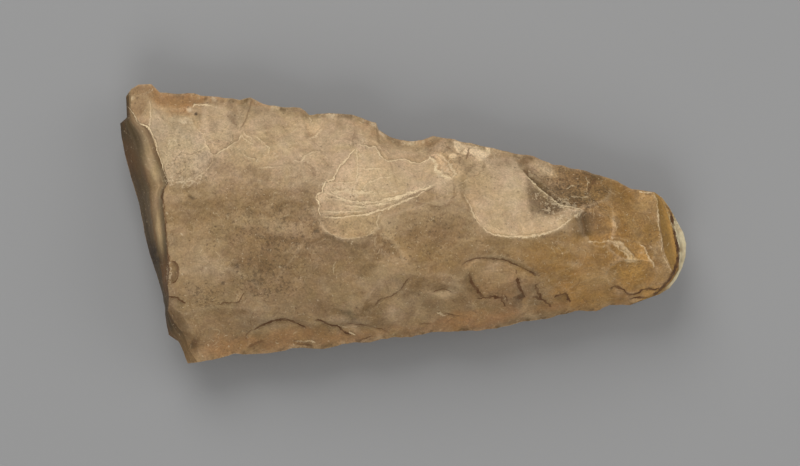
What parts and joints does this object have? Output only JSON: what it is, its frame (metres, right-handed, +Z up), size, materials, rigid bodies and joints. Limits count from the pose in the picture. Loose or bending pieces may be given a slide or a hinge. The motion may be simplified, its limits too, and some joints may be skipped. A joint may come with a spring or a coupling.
{
  "type": "flaked flint axe head",
  "caption": "Wedge-shaped flint axe head flaked on both faces, with a wide bevelled cutting end, sharp side rims and a narrow butt with a strip of chalky cortex.",
  "frame": {"origin": "on the surface the stone lies on, under the middle of its outline", "axes": "+X from the wide cutting end to the narrow butt, +Y across the stone towards the rim with the large notch, +Z up out of the broad upper face"},
  "size_m": [0.1698, 0.0838, 0.036],
  "materials": {
    "flint": "patinated flint, satin, tan and brown with pale arrises"
  },
  "bodies": {
    "root": {"axe_head": "flint"}
  },
  "joints": []
}
